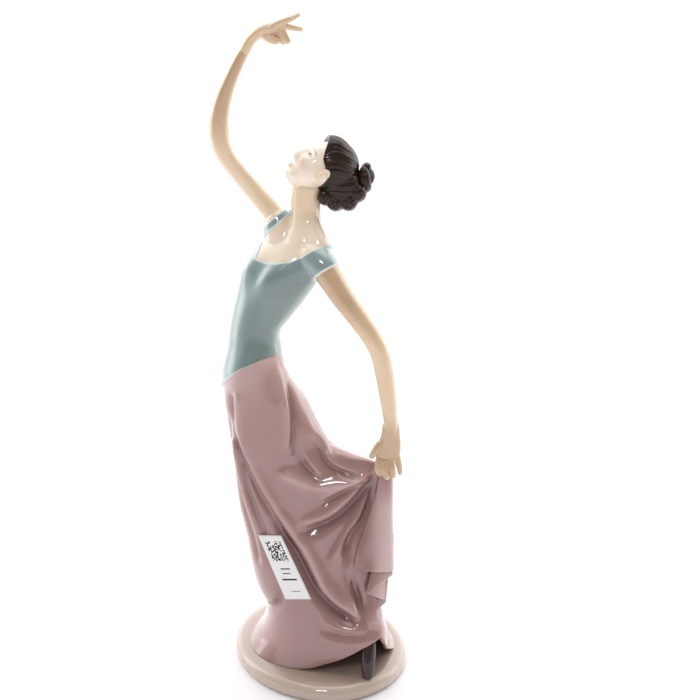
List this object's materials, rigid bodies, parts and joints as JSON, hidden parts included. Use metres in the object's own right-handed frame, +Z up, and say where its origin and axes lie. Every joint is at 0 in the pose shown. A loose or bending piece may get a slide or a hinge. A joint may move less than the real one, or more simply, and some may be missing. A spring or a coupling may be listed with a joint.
{
  "type": "porcelain figurine",
  "caption": "Glazed porcelain dancer leaning back on an oval plinth, one arm curved over her head and one hand lifting her long skirt.",
  "frame": {"origin": "centre of the plinth's foot ring, on the surface it stands on", "axes": "+Z up; the viewer's side is -Y; the dancer's hips stand towards -X and the lifted skirt is towards +X"},
  "size_m": [0.1018, 0.0966, 0.3375],
  "materials": {
    "skin_glaze": "warm cream flesh tones airbrushed under a clear gloss glaze",
    "bodice_glaze": "pale grey-green underglaze, clear gloss glaze",
    "skirt_glaze": "dusty mauve-pink underglaze, shaded in the folds, clear gloss glaze",
    "hair_glaze": "dark brown underglaze over combed grooves, clear gloss glaze",
    "base_glaze": "warm grey-beige underglaze, clear gloss glaze, bare foot ring",
    "slipper_glaze": "dark mauve-brown underglaze, clear gloss glaze",
    "label_card": null
  },
  "bodies": {
    "root": {"base_plinth": "base_glaze", "skirt": "skirt_glaze", "skirt_flounce": "skirt_glaze", "hem_cascade": "skirt_glaze", "bodice": "bodice_glaze", "right_sleeve": "bodice_glaze", "left_sleeve": "bodice_glaze", "neck_and_chest": "skin_glaze", "head": "skin_glaze", "left_ear": "skin_glaze", "right_ear": "skin_glaze", "hair_cap": "hair_glaze", "hair_bun": "hair_glaze", "nape_roll": "hair_glaze", "right_arm": "skin_glaze", "left_arm": "skin_glaze", "right_palm": "skin_glaze", "left_palm": "skin_glaze", "slipper": "slipper_glaze", "ankle": "slipper_glaze", "stock_label": "label_card", "right_index_finger": "skin_glaze", "right_middle_finger": "skin_glaze", "right_ring_finger": "skin_glaze", "right_little_finger": "skin_glaze", "right_thumb": "skin_glaze", "left_index_finger": "skin_glaze", "left_middle_finger": "skin_glaze", "left_ring_finger": "skin_glaze", "left_little_finger": "skin_glaze", "left_thumb": "skin_glaze"}
  },
  "joints": []
}
